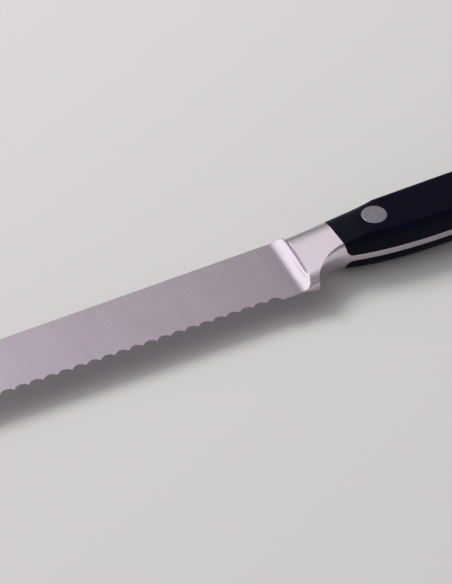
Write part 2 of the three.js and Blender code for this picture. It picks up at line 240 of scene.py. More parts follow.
# Tints, dark and light
GROUND_TINTS = ((0.605, 0.542, 0.61), (0.69, 0.621, 0.695))
SATIN_TINTS = ((0.676, 0.613, 0.673), (0.709, 0.645, 0.707))
PLASTIC_TINTS = ((0.0009, 0.0012, 0.0075), (0.0016, 0.0019, 0.011))
RIVET_TINTS = ((0.41, 0.39, 0.445), (0.505, 0.48, 0.535))
STEEL_CLOUD_SHARE = 0.35
STEEL_SHADE_RANGE = (0.53, 0.82)

# Gloss and bump
GROUND_ROUGHNESS = (0.33, 0.39)
SATIN_ROUGHNESS = (0.26, 0.32)
PLASTIC_ROUGHNESS = (0.42, 0.54)
PLASTIC_SPECULAR = 0.1
RIVET_ROUGHNESS = (0.32, 0.44)
STEEL_BUMP = 0.06
PLASTIC_BUMP = 0.1
RIVET_BUMP = 0.1
BUMP_DISTANCE = 0.00003
GROUND_ATTRIBUTE = "ground"

# Camera, in pixels of the photo and millimetres, its near limit in metres
PHOTO_HEIGHT = 584
FOCAL_PIXELS = 2000.0
CAMERA_AZIMUTH = math.radians(-25.679)
CAMERA_ELEVATION = math.radians(43.775)
CAMERA_ROLL = math.radians(-1.343)
CAMERA_DISTANCE = 564.09
CAMERA_TARGET = (-21.53, -11.334, 0.0)
SENSOR = 36.0
CLIP_START = 0.01

# Floor, in metres
FLOOR_HALF = 4.0
FLOOR_COLOUR = (0.7, 0.695, 0.69, 1)
FLOOR_ROUGHNESS = 0.8

# Glow behind the knife: its direction, its width as cosines, and the height where it ends
GLOW_AZIMUTH = math.radians(-38)
GLOW_ELEVATION = math.radians(45)
GLOW_EDGE = 0.53
GLOW_CORE = 0.966
GLOW_FALLOFF = 1.75
GLOW_TOP = math.sin(math.radians(62))
GLOW_TOP_END = math.sin(math.radians(82))
GLOW = 1.62
DIM = 0.18
GLOW_COLOUR = (1.0, 0.965, 0.985, 1)

# Low glow in front of the knife, by depth and height
FRONT_START = 0.1
FRONT_END = -0.4
FRONT_LOW = 0.2
FRONT_HIGH = 0.6
FRONT = 0.55

# Fill lamp, in metres and watts
FILL_AZIMUTH = math.radians(-20)
FILL_ELEVATION = math.radians(42)
FILL_DISTANCE = 1.5
FILL_SIZE = 0.5
FILL_POWER = 14
FILL_COLOUR = (1.0, 0.98, 0.97)

# Sizes that follow from those above
LIP_CREST = STEP_AT_SPINE - LIP_BACK_WIDTH
SCALE_FRONT = BOLSTER_LENGTH
BUTT_X = SCALE_FRONT + HANDLE_LENGTH
HANDLE_HALF = HANDLE_THICKNESS / 2
TANG_HALF = TANG_THICKNESS / 2
HEAD_SEAT = HANDLE_HALF - HEAD_THICKNESS
FACE_SLOPE_Y = (SPINE_THICKNESS - EDGE_THICKNESS) / 2 / BLADE_HEIGHT
FACE_SLOPE_X = (SPINE_THICKNESS - SPINE_THICKNESS_AT_TIP) / 2 / BLADE_LENGTH
MM = 0.001

box_low, box_high = (Vector(corner) for corner in cad_box)
SHIFT = np.array([
    box_low.x / MM + BLADE_LENGTH,
    box_high.y / MM,
    box_low.z / MM + HANDLE_HALF,
])


def in_frame(points):
    """Design millimetres to frame metres."""
    return (np.asarray(points, float) + SHIFT) * MM


# Curves along the knife

def ease(t):
    t = np.clip(t, 0, 1)
    return t * t * (3 - 2 * t)


def mix(a, b, t):
    return a + (b - a) * t


def ramp(x, start, end):
    return np.clip((x - start) / (end - start), 0, 1)


def smooth_min(a, b, width):
    t = np.clip(0.5 + 0.5 * (b - a) / width, 0, 1)
    return mix(b, a, t) - width * t * (1 - t)


def hermite(x, x0, y0, slope0, x1, y1, slope1):
    run = x1 - x0
    t = (x - x0) / run
    rise = 3 * t ** 2 - 2 * t ** 3
    leave = t ** 3 - 2 * t ** 2 + t
    arrive = t ** 3 - t ** 2
    return y0 + (y1 - y0) * rise + run * (slope0 * leave + slope1 * arrive)


def round_off(x, end, run, drop):
    t = np.clip((x - end + run) / run, 0, 1)
    return drop * (1 - np.sqrt(1 - t ** 2))


def face_plane(x, y):
    return SPINE_THICKNESS / 2 + FACE_SLOPE_Y * y + FACE_SLOPE_X * x


def edge_line(x):
    return -BLADE_HEIGHT - math.tan(EDGE_TAPER) * x


# The edge runs straight from the heel, then along an arc that ends at the tip
edge_turn_x = EDGE_CURVE_LENGTH - BLADE_LENGTH
edge_turn = np.array([edge_turn_x, edge_line(edge_turn_x)])
tip = np.array([-BLADE_LENGTH, -TIP_DEPTH])
edge_up = np.array([math.sin(EDGE_TAPER), math.cos(EDGE_TAPER)])
edge_radius = np.dot(tip - edge_turn, tip - edge_turn) / (2 * np.dot(tip - edge_turn, edge_up))
edge_centre = edge_turn + edge_radius * edge_up
edge_straight = (BLADE_LENGTH - EDGE_CURVE_LENGTH) / math.cos(EDGE_TAPER)
edge_start_angle = math.atan2(*(edge_turn - edge_centre)[::-1])
edge_end_angle = math.atan2(*(tip - edge_centre)[::-1])
edge_total = edge_straight + edge_radius * (edge_start_angle - edge_end_angle)
flute_count = int((edge_total - PLAIN_HEEL - PLAIN_TIP) / FLUTE_PITCH) + 1

# The spine falls to the tip along an arc
spine_turn_x = SPINE_CURVE_LENGTH - BLADE_LENGTH
spine_radius = (SPINE_CURVE_LENGTH ** 2 + TIP_DEPTH ** 2) / (2 * TIP_DEPTH)


def edge_at(length):
    """Points of the plain edge, and their outward directions, by length from the heel."""
    length = np.asarray(length, float)
    angle = edge_start_angle - np.maximum(0, length - edge_straight) / edge_radius
    outward = np.stack([np.cos(angle), np.sin(angle)], -1)
    point = edge_centre + edge_radius * outward
    back = np.maximum(0, edge_straight - length)
    point = point + np.stack([back * math.cos(EDGE_TAPER), -back * math.sin(EDGE_TAPER)], -1)
    return point, outward


def plain_edge(x):
    arc = edge_centre[1] - np.sqrt(np.maximum(0, edge_radius ** 2 - (x - edge_centre[0]) ** 2))
    return np.where(x < edge_turn_x, arc, edge_line(x))


def flute_z(x, y):
    """The lowest height that the grinding of the teeth leaves, on the right side."""
    radius = FLUTE_EDGE_RADIUS / math.sin(FLUTE_ANGLE)
    height = np.full(np.shape(x), -HANDLE_HALF)
    for i in range(flute_count):
        point, outward = edge_at(PLAIN_HEEL + i * FLUTE_PITCH)
        root = point - outward * FLUTE_DEPTH
        across = (x - root[0]) * -outward[1] + (y - root[1]) * outward[0]
        up = -(x - root[0]) * outward[0] - (y - root[1]) * outward[1]
        near = np.abs(across) < FLUTE_PITCH
        sag = radius - np.sqrt(radius ** 2 - np.where(near, across, 0) ** 2)
        z = face_plane(*root) - up * math.tan(FLUTE_ANGLE) - sag / math.cos(FLUTE_ANGLE)
        height = np.where(near, np.maximum(height, z), height)
    return height


def side_half(x):
    """Half thickness along bolster and handle: a slope, a blend, then the flat side."""
    slope = math.tan(BOLSTER_SLOPE)
    blend_rise = HANDLE_BLEND_RADIUS * (1 - math.cos(BOLSTER_SLOPE))
    blend_run = HANDLE_BLEND_RADIUS * math.sin(BOLSTER_SLOPE)
    slope_end = STEP_AT_SPINE + (HANDLE_HALF - blend_rise - BOLSTER_HALF) / slope
    flat_start = slope_end + blend_run
    sloping = BOLSTER_HALF + (x - STEP_AT_SPINE) * slope
    before = np.clip(flat_start - x, 0, blend_run)
    blended = HANDLE_HALF - HANDLE_BLEND_RADIUS + np.sqrt(HANDLE_BLEND_RADIUS ** 2 - before ** 2)
    flat = HANDLE_HALF - round_off(x, BUTT_X, BUTT_FACE_RUN, BUTT_FACE_ROUND)
    return np.where(x < slope_end, sloping, np.where(x < flat_start, blended, flat))


SHOULDER_TOP = float(side_half(np.array(SCALE_FRONT)))


def spine_line(x):
    hump = SCALE_FRONT + SPINE_HUMP_STATION
    curve = np.sqrt(spine_radius ** 2 - np.minimum(0, x - spine_turn_x) ** 2) - spine_radius
    lip = hermite(x, 0, 0, 0, STEP_AT_SPINE, -BOLSTER_SPINE_DROP, 0)
    rise = hermite(x, STEP_AT_SPINE, -BOLSTER_SPINE_DROP, 0, hump, 0, 0)
    fall = hermite(x, hump, 0, 0, BUTT_X, -SPINE_END_DEPTH, 0)
    fall = fall - round_off(x, BUTT_X, BUTT_SPINE_RUN, BUTT_SPINE_ROUND)
    zones = [x < 0, x < STEP_AT_SPINE, x < hump]
    return np.select(zones, [curve, lip, rise], fall)


def belly_round_at(x):
    front = mix(HEEL_ROUND, BELLY_ROUND_AT_FRONT, ramp(x, STEP_AT_SPINE, SCALE_FRONT))
    back = mix(BELLY_ROUND_AT_FRONT, BELLY_ROUND, ramp(x, SCALE_FRONT, SCALE_FRONT + BELLY_ROUND_RUN))
    return np.where(x < SCALE_FRONT, front, back)


def belly_line(x):
    """The heel, the finger notch, the swell, the waist and the hook at the butt."""
    notch_x = SCALE_FRONT - NOTCH_TOP_AHEAD
    swell = SCALE_FRONT + SWELL_STATION
    waist = SCALE_FRONT + WAIST_STATION
    across = np.minimum(NOTCH_RADIUS, np.abs(x - notch_x))
    notch = np.sqrt(NOTCH_RADIUS ** 2 - across ** 2) - NOTCH_TOP_DEPTH - NOTCH_RADIUS
    front = np.maximum(plain_edge(x), notch - belly_round_at(x))
    front_depth = NOTCH_TOP_DEPTH + BELLY_ROUND_AT_FRONT
    to_swell = hermite(x, SCALE_FRONT, -front_depth, BELLY_SLOPE_AT_FRONT, swell, -SWELL_DEPTH, 0)
    to_waist = hermite(x, swell, -SWELL_DEPTH, 0, waist, -WAIST_DEPTH, 0)
    to_hook = hermite(x, waist, -WAIST_DEPTH, 0, BUTT_X, -HOOK_DEPTH, 0)
    to_hook = to_hook + round_off(x, BUTT_X, BUTT_HOOK_RUN, BUTT_HOOK_ROUND)
    zones = [x < SCALE_FRONT, x < swell, x < waist]
    return np.select(zones, [front, to_swell, to_waist], to_hook)


def spine_round_at(x):
    front = mix(LIP_SPINE_ROUND, BOLSTER_SPINE_ROUND, ramp(x, LIP_CREST, STEP_AT_SPINE))
    along = ramp(x, SCALE_FRONT + SPINE_ROUND_START, SCALE_FRONT + SPINE_ROUND_END)
    return mix(front, SPINE_ROUND, along)


# Heights over the middle plane

def envelope_z(x, y):
    """Outer form of bolster and handle, before the blade is ground."""
    half = side_half(x)
    along = ramp(x, STEP_AT_SPINE, SCALE_FRONT)
    spine_strip = mix(BOLSTER_SPINE_STRIP / 2, TANG_HALF, along)
    belly_strip = mix(HEEL_STRIP / 2, TANG_HALF, along)
    cosine = np.clip(1 - (spine_line(x) - y) / spine_round_at(x), 0, 1)
    spine_z = spine_strip + (half - spine_strip) * np.sqrt(1 - cosine ** 2)
    share = np.clip((y - belly_line(x)) / belly_round_at(x), 0, 1)
    turn = np.arccos(1 - share * (1 - math.cos(BELLY_ARC)))
    belly_z = belly_strip + (half - belly_strip) * np.sin(turn) / math.sin(BELLY_ARC)
    return np.minimum(spine_z, belly_z)


def step_x(y):
    return STEP_AT_SPINE - y ** 2 / (2 * STEP_CURVE_RADIUS)


def step_fade(y):
    """0 where the step is crisp, 1 at the heel where it has run out."""
    return ease(ramp(-y, STEP_FADE_START, STEP_FADE_END))


def lip_start(y):
    return LIP_START + math.tan(LIP_START_LEAN) * y


def lip_crest(y):
    return step_x(y) - LIP_BACK_WIDTH + LIP_RUNOUT * step_fade(y)


def hollow_dip(x, y):
    """The slight hollow that the wheel leaves ahead of the lip."""
    start = lip_start(y)
    steepness = 2 * HOLLOW_DEPTH / (start - HOLLOW_START)
    ahead = HOLLOW_DEPTH * ramp(x, HOLLOW_START, start) ** 2
    climbing = hermite(x, start, HOLLOW_DEPTH, steepness, lip_crest(y), 0, 0)
    return np.where(x < start, ahead, np.where(x < lip_crest(y), climbing, 0))


def grind_z(x, y):
    """What the wheel leaves: flat face, hollow sweep, rounded lip and its back."""
    towards_heel = np.clip(-y / BLADE_HEIGHT, 0, 1)
    height = mix(LIP_HEIGHT, LIP_HEIGHT_AT_HEEL, towards_heel) + LIP_RUNOUT_RISE * step_fade(y)
    run = lip_crest(y) - lip_start(y)
    radii = (run ** 2 + height ** 2) / (2 * height)
    crest_radius = mix(LIP_CREST_RADIUS, LIP_CREST_RADIUS_AT_HEEL, towards_heel)
    sweep_radius = radii - crest_radius
    turn = run * sweep_radius / radii
    sweep = np.clip(x - lip_start(y), 0, turn)
    hollow = sweep_radius - np.sqrt(sweep_radius ** 2 - sweep ** 2)
    behind = x - lip_crest(y)
    on_crown = np.clip(behind, turn - run, 0)
    crown = height - crest_radius + np.sqrt(crest_radius ** 2 - on_crown ** 2)
    back = np.maximum(0, behind) ** 2 / (2 * LIP_BACK_RADIUS)
    notch = SPINE_NOTCH * ease(1 + y / SPINE_NOTCH_RUN) * ramp(behind, 0, SPINE_NOTCH_WIDTH)
    lift = np.where(behind > turn - run, crown - back - notch, hollow)
    return face_plane(np.minimum(x, lip_start(y)), y) + lift - hollow_dip(x, y)


def facet_z(x, y):
    """The slanted facet that is ground off the heel."""
    plane = BOLSTER_HALF + math.tan(FACET_LEAD) * (x - STEP_AT_SPINE)
    plane = plane + math.tan(FACET_ANGLE) * (y + FACET_DEPTH)
    return np.maximum(plane, face_plane(x, y))


def shoulder_end(gap):
    """Where the fillet behind the bolster has run out into the tang's flat."""
    fillet = SHOULDER_FILLET + gap
    wall_height = SHOULDER_TOP - TANG_HALF - fillet
    wall_run = wall_height * math.tan(SHOULDER_DRAFT)
    return SCALE_FRONT + gap + wall_run + fillet / math.cos(SHOULDER_DRAFT)


def shoulder_z(x, gap):
    """The bolster's rear wall, its fillet and the tang's flat."""
    fillet = SHOULDER_FILLET + gap
    centre_z = TANG_HALF + fillet
    centre_x = shoulder_end(gap)
    wall = SHOULDER_TOP - (x - SCALE_FRONT - gap) / math.tan(SHOULDER_DRAFT)
    inside = np.clip(x - centre_x, -fillet * math.cos(SHOULDER_DRAFT), 0)
    round_z = centre_z - np.sqrt(fillet ** 2 - inside ** 2)
    return np.where(x < centre_x - fillet * math.cos(SHOULDER_DRAFT), wall, round_z)


def edge_break(depth, radius):
    """How far a small round at an edge lowers the face, by distance from the edge."""
    inside = np.clip(radius - depth, 0, radius)
    return radius - np.sqrt(np.maximum(0, radius ** 2 - inside ** 2))


def forging_z(x, y, spine, belly):
    """Upper side of blade, bolster and tang."""
    outer = envelope_z(x, y)
    facet = facet_z(x, y)
    before = np.clip((step_x(y) - x) / STEP_GROOVE_WIDTH, 0, 1)
    groove = STEP_GROOVE * (1 - before) * (1 - step_fade(y))
    ground = smooth_min(outer, grind_z(x, y) - groove, GRIND_BLEND)
    ground = smooth_min(ground, facet, FACET_EDGE_BLEND)
    outer = smooth_min(outer, facet, FACET_BLEND)
    behind = ease((x - step_x(y)) / STEP_RAMP)
    z = mix(ground, outer, behind)
    z = np.where(x < lip_start(y), grind_z(x, y), z)
    z = np.minimum(z, np.maximum(shoulder_z(x, 0), TANG_HALF))
    ahead = 1 - ramp(x, LIP_START, LIP_CREST)
    z = z - edge_break(spine - y, SPINE_BREAK * ahead + NO_BREAK)
    heel = HEEL_BREAK * ramp(x, -PLAIN_HEEL + FLUTE_PITCH, -PLAIN_HEEL + 2 * FLUTE_PITCH)
    heel = heel * (1 - ramp(x, SCALE_FRONT - HEEL_BREAK_FADE, SCALE_FRONT))
    return z - edge_break(y - belly, heel + NO_BREAK)


# Meshes

def mesh_piece(name, points, faces, material, nodes):
    """A closed smooth-shaded piece that stands for its nodes."""
    mesh = bpy.data.meshes.new(name)
    mesh.from_pydata([tuple(p) for p in in_frame(points)], [], faces)
    work = bmesh.new()
    work.from_mesh(mesh)
    bmesh.ops.remove_doubles(work, verts=work.verts, dist=MERGE_DISTANCE)
    bmesh.ops.dissolve_degenerate(work, edges=work.edges, dist=SHORTEST_EDGE)
    bmesh.ops.recalc_face_normals(work, faces=work.faces)
    if work.calc_volume(signed=True) < 0:
        bmesh.ops.reverse_faces(work, faces=work.faces)
    work.to_mesh(mesh)
    work.free()
    mesh.shade_smooth()
    mesh.set_sharp_from_angle(angle=SHARP_ANGLE)
    mesh.materials.append(material)
    piece = bpy.data.objects.new(name, mesh)
    bpy.context.scene.collection.objects.link(piece)
    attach(piece, "root")
    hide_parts(*nodes)
    return piece


def ring_faces(rings, count):
    """Quads between rings of equal count."""
    faces = []
    for i in range(rings - 1):
        for j in range(count):
            k = (j + 1) % count
            a, b = i * count + j, i * count + k
            faces.append((a, b, b + count, a + count))
    return faces


def lofted_piece(name, x, y, upper, lower, material, nodes):
    """A closed piece between an upper and a lower sheet over the same grid."""
    top = np.stack([x, y, upper], -1)
    bottom = np.stack([x, y, lower], -1)[:, ::-1]
    points = np.concatenate([top, bottom], 1)
    rings, count = points.shape[:2]
    faces = ring_faces(rings, count)
    faces.append(tuple(range(count)))
    faces.append(tuple(range((rings - 1) * count, rings * count))[::-1])
    return mesh_piece(name, points.reshape(-1, 3), faces, material, nodes)


def spread(edges):
    """Stations from (start, count) stretches."""
    stations = []
    for (start, count), (end, _) in zip(edges, edges[1:]):
        stations.extend(np.linspace(start, end, count, endpoint=False))
    stations.append(edges[-1][0])
    return np.array(stations)


def shares(count, power=1.0):
    return np.linspace(0, 1, count + 1) ** power


def rows_between(spine, belly, spine_width, belly_width, crowding):
    """Row heights from spine to belly, dense where the edges are rounded."""
    spine, belly = spine[:, None], belly[:, None]
    spine_width, belly_width = spine_width[:, None], belly_width[:, None]
    top = spine - spine_width * (1 - np.cos(shares(SPINE_ROWS) * math.pi / 2))[None, :]
    middle = mix(spine - spine_width, belly + belly_width, shares(FACE_ROWS)[None, 1:-1])
    bottom = belly + belly_width * shares(EDGE_ROWS, crowding)[None, ::-1]
    return np.concatenate([top, middle, bottom], 1)


def turning_point(function, bottom, top):
    """Where a rising function turns positive, by halving."""
    bottom, top = bottom.copy(), top.copy()
    for _ in range(HALVINGS):
        middle = (bottom + top) / 2
        above = function(middle) > 0
        top = np.where(above, middle, top)
        bottom = np.where(above, bottom, middle)
    return top


def front_of_scale(y, gap):
    """Where the shoulder meets the outer form, for each Y."""
    near = np.full(np.shape(y), SCALE_FRONT + gap)
    far = np.full(np.shape(y), shoulder_end(gap))
    return turning_point(lambda x: envelope_z(x, y) - shoulder_z(x, gap), near, far)


# Materials

def principled(name):
    """A new material, its node tree and its shader."""
    material = bpy.data.materials.new(name)
    material.use_nodes = True
    tree = material.node_tree
    return material, tree, tree.nodes["Principled BSDF"]


def stretched_noise(tree, scale, detail, roughness):
    """Noise over the object's own coordinates, stretched by a scale for each axis."""
    where = tree.nodes.new("ShaderNodeTexCoord")
    mapping = tree.nodes.new("ShaderNodeMapping")
    mapping.inputs["Scale"].default_value = scale
    noise = tree.nodes.new("ShaderNodeTexNoise")
    noise.inputs["Scale"].default_value = 1.0
    noise.inputs["Detail"].default_value = detail
    noise.inputs["Roughness"].default_value = roughness
    tree.links.new(where.outputs["Object"], mapping.inputs["Vector"])
    tree.links.new(mapping.outputs["Vector"], noise.inputs["Vector"])
    return noise.outputs["Fac"]


def remap(tree, value, low, high, start=NOISE_LOW, end=NOISE_HIGH):
    node = tree.nodes.new("ShaderNodeMapRange")
    node.inputs["From Min"].default_value = start
    node.inputs["From Max"].default_value = end
    node.inputs["To Min"].default_value = low
    node.inputs["To Max"].default_value = high
    tree.links.new(value, node.inputs["Value"])
    return node.outputs["Result"]


def calculated(tree, operation, *values):
    """The result of an operation on sockets and plain numbers."""
    node = tree.nodes.new("ShaderNodeMath")
    node.operation = operation
    for entry, value in zip(node.inputs, values):
        if isinstance(value, bpy.types.NodeSocket):
            tree.links.new(value, entry)
        else:
            entry.default_value = value
    return node.outputs["Value"]


def socket_of(sockets, name, data_type):
    """The socket of a mix node that holds numbers or colours."""
    kind = {"FLOAT": "VALUE", "RGBA": "RGBA"}[data_type]
    return next(s for s in sockets if s.name == name and s.type == kind)


def mixed(tree, factor, a, b, data_type="FLOAT"):
    node = tree.nodes.new("ShaderNodeMix")
    node.data_type = data_type
    tree.links.new(factor, node.inputs["Factor"])
    tree.links.new(a, socket_of(node.inputs, "A", data_type))
    tree.links.new(b, socket_of(node.inputs, "B", data_type))
    return socket_of(node.outputs, "Result", data_type)


def tinted(tree, value, dark, light):
    """A colour between two, by a value from 0 to 1."""
    node = tree.nodes.new("ShaderNodeMix")
    node.data_type = "RGBA"
    tree.links.new(value, node.inputs["Factor"])
    socket_of(node.inputs, "A", "RGBA").default_value = (*dark, 1)
    socket_of(node.inputs, "B", "RGBA").default_value = (*light, 1)
    return socket_of(node.outputs, "Result", "RGBA")


def bumped(tree, shader, height, strength):
    node = tree.nodes.new("ShaderNodeBump")
    node.inputs["Strength"].default_value = strength
    node.inputs["Distance"].default_value = BUMP_DISTANCE
    tree.links.new(height, node.inputs["Height"])
    tree.links.new(node.outputs["Normal"], shader.inputs["Normal"])


def steel_material():
    """Satin steel: grinding lines across the blade, a finer satin on bolster and tang."""
    material, tree, shader = principled("satin_steel")
    shader.inputs["Metallic"].default_value = 1.0
    lines = stretched_noise(tree, *GRIND_LINES)
    satin = stretched_noise(tree, *SATIN_GRAIN)
    cloud = stretched_noise(tree, *STEEL_CLOUD)
    attribute = tree.nodes.new("ShaderNodeAttribute")
    attribute.attribute_name = GROUND_ATTRIBUTE
    ground = attribute.outputs["Fac"]
    grain = mixed(tree, ground, satin, lines)
    shade = calculated(tree, "MULTIPLY_ADD", cloud, STEEL_CLOUD_SHARE, grain)
    depth = remap(tree, shade, 0, 1, *STEEL_SHADE_RANGE)
    ground_tint = tinted(tree, depth, *GROUND_TINTS)
    satin_tint = tinted(tree, depth, *SATIN_TINTS)
    ground_roughness = remap(tree, grain, *GROUND_ROUGHNESS)
    satin_roughness = remap(tree, grain, *SATIN_ROUGHNESS)
    tint = mixed(tree, ground, satin_tint, ground_tint, "RGBA")
    roughness = mixed(tree, ground, satin_roughness, ground_roughness)
    tree.links.new(tint, shader.inputs["Base Color"])
    tree.links.new(roughness, shader.inputs["Roughness"])
    bumped(tree, shader, grain, STEEL_BUMP)
    return material


def scale_material():
    """Black moulded plastic with a fine matte skin."""
    material, tree, shader = principled("moulded_black")
    skin = stretched_noise(tree, *PLASTIC_SKIN)
    cloud = stretched_noise(tree, *PLASTIC_CLOUD)
    tint = tinted(tree, remap(tree, cloud, 0, 1), *PLASTIC_TINTS)
    tree.links.new(tint, shader.inputs["Base Color"])
    tree.links.new(remap(tree, skin, *PLASTIC_ROUGHNESS), shader.inputs["Roughness"])
    shader.inputs["Specular IOR Level"].default_value = PLASTIC_SPECULAR
    bumped(tree, shader, skin, PLASTIC_BUMP)
    return material


def rivet_material():
    """Steel rivet heads, ground flush."""
    material, tree, shader = principled("rivet_steel")
    shader.inputs["Metallic"].default_value = 1.0
    lines = stretched_noise(tree, *RIVET_LINES)
    cloud = stretched_noise(tree, *RIVET_CLOUD)
    tint = tinted(tree, remap(tree, cloud, 0, 1), *RIVET_TINTS)
    tree.links.new(tint, shader.inputs["Base Color"])
    tree.links.new(remap(tree, lines, *RIVET_ROUGHNESS), shader.inputs["Roughness"])
    bumped(tree, shader, lines, RIVET_BUMP)
    return material


# Forging

def butt_columns(count):
    """Stations over the rounded butt, closer towards its end."""
    return BUTT_X - BUTT_SPINE_RUN + BUTT_SPINE_RUN * np.sin(shares(count) * math.pi / 2)


def forging_columns():
    """Stations along the forging, closer where it is toothed, ground or stepped."""
    column_run = FLUTE_PITCH / COLUMNS_PER_FLUTE
    along_teeth = np.arange(flute_count * COLUMNS_PER_FLUTE + 1) * column_run
    toothed = edge_at(PLAIN_HEEL - FLUTE_PITCH / 2 + along_teeth)[0][:, 0][::-1]
    tip_part = mix(TIP_BLUNT - BLADE_LENGTH, toothed[0], shares(TIP_COLUMNS, TIP_CROWDING))[:-1]
    rest = spread([
        (toothed[-1], 10),
        (HEEL_START, 12),
        (SWEEP_COLUMNS_START, 24),
        (STEP_AT_SPINE - STEP_APPROACH, 4),
        (STEP_AT_SPINE - STEP_FOOT, 1),
        (STEP_AT_SPINE, 3),
        (STEP_AT_SPINE + STEP_RAMP, 4),
        (STEP_AT_SPINE + STEP_CLEAR, 36),
        (SCALE_FRONT - FRONT_APPROACH, 6),
        (SCALE_FRONT, 14),
        (SCALE_FRONT + SHOULDER_RUN, 3),
        (SCALE_FRONT + TANG_COLUMNS_RUN, 40),
        (BUTT_X - BUTT_SPINE_RUN, 1),
    ])[1:-1]
    return np.concatenate([tip_part, toothed, rest, butt_columns(FORGING_BUTT_COLUMNS)])


def leaning(u, y):
    """Columns lean with the step and follow the front of the scale near it."""
    to_step = ease(ramp(u, HEEL_START, STEP_AT_SPINE - LEAN_AHEAD))
    to_step = to_step * (1 - ease(ramp(u, STEP_AT_SPINE + LEAN_BEHIND, LEAN_END)))
    to_front = ease(ramp(u, FOLLOW_START, SCALE_FRONT - FRONT_APPROACH))
    to_front = to_front * (1 - ease(ramp(u, SCALE_FRONT + SHOULDER_RUN, FOLLOW_END)))
    front = front_of_scale(y, 0) - SCALE_FRONT
    return u + to_step * (step_x(y) - STEP_AT_SPINE) + to_front * front


def forging_belly(columns):
    """The scalloped edge, then the heel, the finger notch and the belly of the tang."""
    deep = np.full(len(columns), -BLADE_HEIGHT - BELLY_SEARCH_MARGIN)
    smooth = turning_point(lambda y: y - belly_line(leaning(columns, y)), deep, deep * BELLY_SEARCH_SHARE)
    edge = plain_edge(columns)
    scalloped = turning_point(
        lambda y: face_plane(columns, y) - EDGE_LAND - flute_z(columns, y),
        edge - EDGE_SEARCH_BELOW,
        edge + EDGE_SEARCH_ABOVE,
    )
    return np.where(columns < HEEL_START, np.maximum(edge, scalloped), smooth)


def forging_rows(columns, spine, belly):
    """Row heights on the forging, dense at the teeth and over the rounds."""
    height = spine - belly
    on_blade = 1 - ease(ramp(columns, HEEL_START, SPINE_BREAK_END))
    spine_width = mix(spine_round_at(columns), SPINE_BREAK, on_blade)
    at_teeth = np.minimum(EDGE_BAND, height * TOOTH_BAND_SHARE)
    on_edge = 1 - ease(ramp(columns, EDGE_BAND_END, BELLY_BAND_START))
    at_belly = BELLY_BAND_FACTOR * belly_round_at(columns) + BELLY_BAND_EXTRA
    belly_width = np.where(columns < EDGE_BAND_END, at_teeth, mix(at_belly, EDGE_BAND, on_edge))
    spine_width = np.minimum(spine_width, height * SPINE_BAND_SHARE)
    belly_width = np.minimum(belly_width, height * BELLY_BAND_SHARE)
    return rows_between(spine, belly, spine_width, belly_width, BLADE_CROWDING)


def mark_ground(piece):
    """Marks the points that the wheel has ground, ahead of the step."""
    vertices = piece.data.vertices
    place = np.empty(len(vertices) * 3)
    vertices.foreach_get("co", place)
    x, y, _ = (place.reshape(-1, 3) / MM - SHIFT).T
    ahead = x < step_x(y) + STEP_RAMP / 2
    below = grind_z(x, y) < np.minimum(envelope_z(x, y), facet_z(x, y))
    ground = ahead & (below | (x < lip_start(y)))
    attribute = piece.data.attributes.new(GROUND_ATTRIBUTE, "FLOAT", "POINT")
    attribute.data.foreach_set("value", ground.astype(np.float32))


def make_forging(material):
    """Blade, bolster and tang in one piece."""
    columns = forging_columns()
    spine = spine_line(columns)
    belly = forging_belly(columns)
    y = forging_rows(columns, spine, belly)
    x = leaning(np.repeat(columns[:, None], y.shape[1], 1), y)
    upper = forging_z(x, y, spine[:, None], belly[:, None])
    fluted = np.maximum(-upper, np.minimum(flute_z(x, y), upper - EDGE_LAND))
    lower = np.where(x < HEEL_START, fluted, -upper)
    piece = lofted_piece("forged_blade", x, y, upper, lower, material, ["blade_forging"])
    mark_ground(piece)
    return piece


# Handle scales

def scale_columns():
    """Stations along a scale, closer at its front and its butt."""
    front = spread([
        (SCALE_FRONT, 4),
        (SCALE_FRONT + SCALE_NOSE, 12),
        (SCALE_FRONT + SHOULDER_RUN, 20),
        (SCALE_FRONT + SCALE_FOLLOW_RUN, 20),
        (SCALE_FRONT + SCALE_REAR_RUN, 40),
        (BUTT_X - BUTT_SPINE_RUN, 1),
    ])[:-1]
    return np.concatenate([front, butt_columns(SCALE_BUTT_COLUMNS)])


def make_scale(name, side, node, material):
    """One handle scale, from the shoulder to the butt."""
    columns = scale_columns()
    follow = 1 - ease(ramp(columns, SCALE_FRONT + SHOULDER_RUN, SCALE_FRONT + SCALE_FOLLOW_RUN))
    ends = columns + follow * (shoulder_end(SCALE_GAP) - SCALE_FRONT)
    spine_width, belly_width = spine_round_at(columns), belly_round_at(columns)
    y = rows_between(spine_line(ends), belly_line(ends), spine_width, belly_width, SCALE_CROWDING)
    x = columns[:, None] + follow[:, None] * (front_of_scale(y, SCALE_GAP) - SCALE_FRONT)
    outer = np.maximum(envelope_z(x, y), TANG_HALF)
    inner = np.minimum(np.maximum(shoulder_z(x, SCALE_GAP), TANG_HALF), outer)
    return lofted_piece(name, x, y, outer * side, inner * side, material, [node])


# Rivets and their holes

def rivet_centre(index):
    return np.array([SCALE_FRONT + RIVET_FIRST + index * RIVET_SPACING, -RIVET_DEPTH])


def head_profile():
    """Rings of a rivet head's face and its small edge round, as (radius, drop below the handle's side)."""
    rings = [(HEAD_RADIUS * share, 0.0) for share in HEAD_RINGS]
    for turn in shares(HEAD_BREAK_STEPS) * math.pi / 2:
        radius = HEAD_RADIUS - HEAD_BREAK * (1 - math.sin(turn))
        rings.append((radius, HEAD_BREAK * (1 - math.cos(turn))))
    return rings


def circle(centre, radius):
    """X and Y of the points on a circle."""
    angles = np.arange(ROUND_SEGMENTS) * 2 * math.pi / ROUND_SEGMENTS
    return centre[0] + radius * np.cos(angles), centre[1] + radius * np.sin(angles)


